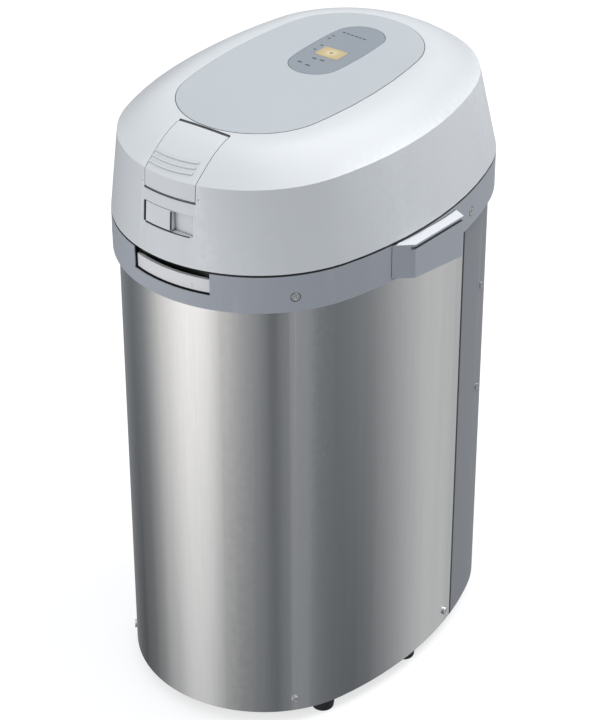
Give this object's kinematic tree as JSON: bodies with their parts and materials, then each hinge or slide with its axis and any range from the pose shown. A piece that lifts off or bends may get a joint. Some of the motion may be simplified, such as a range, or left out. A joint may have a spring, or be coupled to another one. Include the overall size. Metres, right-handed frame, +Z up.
{
  "type": "electric food waste dryer",
  "caption": "Upright oval kitchen food waste dryer: steel body, hinged hot air lid, lift-out container with a driven stirrer.",
  "frame": {"origin": "middle of the footprint, on the surface that the feet stand on", "axes": "+Z up, -Y towards the front with the release button, +X to the right as seen from the front"},
  "size_m": [0.276, 0.37, 0.5456],
  "materials": {
    "steel": "vertically brushed stainless sheet",
    "ring_plastic": "satin grey plastic",
    "cover_plastic": "satin blue grey plastic",
    "lid_plastic": "smooth pale plastic",
    "panel_plastic": "smooth pale blue grey plastic",
    "window_plastic": "smooth translucent grey plastic",
    "lit_plastic": "lit translucent plastic",
    "silver_trim": "satin silver",
    "dark_plastic": "black plastic",
    "foot_rubber": "black rubber",
    "seal_rubber": "red silicone rubber",
    "cast_metal": "cast",
    "pressed_metal": "pressed sheet",
    "turned_metal": "turned",
    "gear_plastic": "moulded nylon",
    "board": "circuit board",
    "motor_metal": "painted can",
    "core_ceramic": "porous ceramic"
  },
  "bodies": {
    "housing": {"base_tray": "dark_plastic", "feet": "foot_rubber", "steel_jacket": "steel", "jacket_screws": "turned_metal", "rear_cover": "cover_plastic", "rear_cover_screws": "turned_metal", "top_ring": "ring_plastic", "ring_screws": "turned_metal", "side_grips": "ring_plastic", "front_grip": "silver_trim", "drying_chamber": "pressed_metal", "container_pot": "cast_metal", "pot_bush": "gear_plastic", "fixed_blades": "cast_metal", "shaft_seal": "seal_rubber", "idler_shaft": "turned_metal", "gearbox_housing": "cast_metal", "gearbox_cover": "cast_metal", "gearbox_screws": "turned_metal", "drive_motor": "motor_metal", "exhaust_duct": "pressed_metal", "catalyst_housing": "pressed_metal", "catalyst_core": "core_ceramic", "exhaust_fan_frame": "dark_plastic", "power_board": "board", "cord_gland": "dark_plastic", "lid_switch": "dark_plastic", "hinge_bracket": "pressed_metal", "hinge_pin": "turned_metal", "hinge_springs": "turned_metal"},
    "bail": {"container_handle": "pressed_metal", "handle_grip": "dark_plastic"},
    "stirrer": {"stirrer_rotor": "cast_metal", "output_shaft": "turned_metal", "output_gear": "gear_plastic"},
    "idler": {"idler_gear": "gear_plastic"},
    "motor_rotor": {"motor_pinion": "turned_metal"},
    "exhaust_rotor": {"exhaust_fan_rotor": "dark_plastic"},
    "lid": {"lid_shell": "lid_plastic", "lid_panel": "panel_plastic", "panel_window": "window_plastic", "display_board": "board", "lid_inner_cover": "pressed_metal", "lid_gasket": "seal_rubber", "inner_cover_screws": "turned_metal", "fan_scroll": "pressed_metal", "fan_motor": "motor_metal", "heater_duct": "pressed_metal", "heater_coil": "core_ceramic", "temperature_sensor": "pressed_metal", "latch_pin": "turned_metal", "latch_spring": "turned_metal"},
    "circulation_rotor": {"circulation_fan": "cast_metal"},
    "key": {"start_key": "lit_plastic"},
    "button": {"release_button": "lid_plastic"},
    "latch": {"latch_hook": "lid_plastic"},
    "lock": {"lock_slider": "lid_plastic"}
  },
  "joints": [
    {"name": "lid_hinge", "type": "hinge", "parent": "housing", "child": "lid", "pos_m": [0, 0.172, 0.458], "axis": [-1, 0, 0], "range_deg": [0, 85]},
    {"name": "bail_pivot", "type": "hinge", "parent": "housing", "child": "bail", "pos_m": [0, -0.052, 0.402], "axis": [1, 0, 0], "range_deg": [0, 180]},
    {"name": "stirrer_spin", "type": "hinge", "parent": "housing", "child": "stirrer", "pos_m": [0, -0.052, 0.09], "axis": [0, 0, 1], "continuous": true},
    {"name": "idler_spin", "type": "hinge", "parent": "housing", "child": "idler", "pos_m": [0, 0.0337, 0.045], "axis": [0, 0, 1], "continuous": true},
    {"name": "motor_spin", "type": "hinge", "parent": "housing", "child": "motor_rotor", "pos_m": [0, 0.0899, 0.05], "axis": [0, 0, 1], "continuous": true},
    {"name": "exhaust_fan_spin", "type": "hinge", "parent": "housing", "child": "exhaust_rotor", "pos_m": [0, 0.15, 0.29], "axis": [0, 1, 0], "continuous": true},
    {"name": "circulation_fan_spin", "type": "hinge", "parent": "lid", "child": "circulation_rotor", "pos_m": [0, 0.03, 0.47], "axis": [0, 0, 1], "continuous": true},
    {"name": "key_press", "type": "slide", "parent": "lid", "child": "key", "axis": [0, 0, -1], "range_m": [0, 0.0006], "stiffness_N_per_m": 1500},
    {"name": "button_press", "type": "hinge", "parent": "lid", "child": "button", "pos_m": [0, -0.17594, 0.5095], "axis": [-1, 0, 0], "range_deg": [0, 2.5], "stiffness_Nm_per_rad": 4},
    {"name": "latch_swing", "type": "hinge", "parent": "lid", "child": "latch", "pos_m": [0, -0.167, 0.4895], "axis": [-1, 0, 0], "range_deg": [0, 2], "stiffness_Nm_per_rad": 1},
    {"name": "lock_slide", "type": "slide", "parent": "lid", "child": "lock", "axis": [1, 0, 0], "range_m": [0, 0.0188]}
  ],
  "couplings": [
    {"joint": "idler_spin", "follows": "stirrer_spin", "ratio": -3.75},
    {"joint": "motor_spin", "follows": "stirrer_spin", "ratio": 13.75},
    {"joint": "latch_swing", "follows": "button_press", "ratio": 0.8}
  ]
}
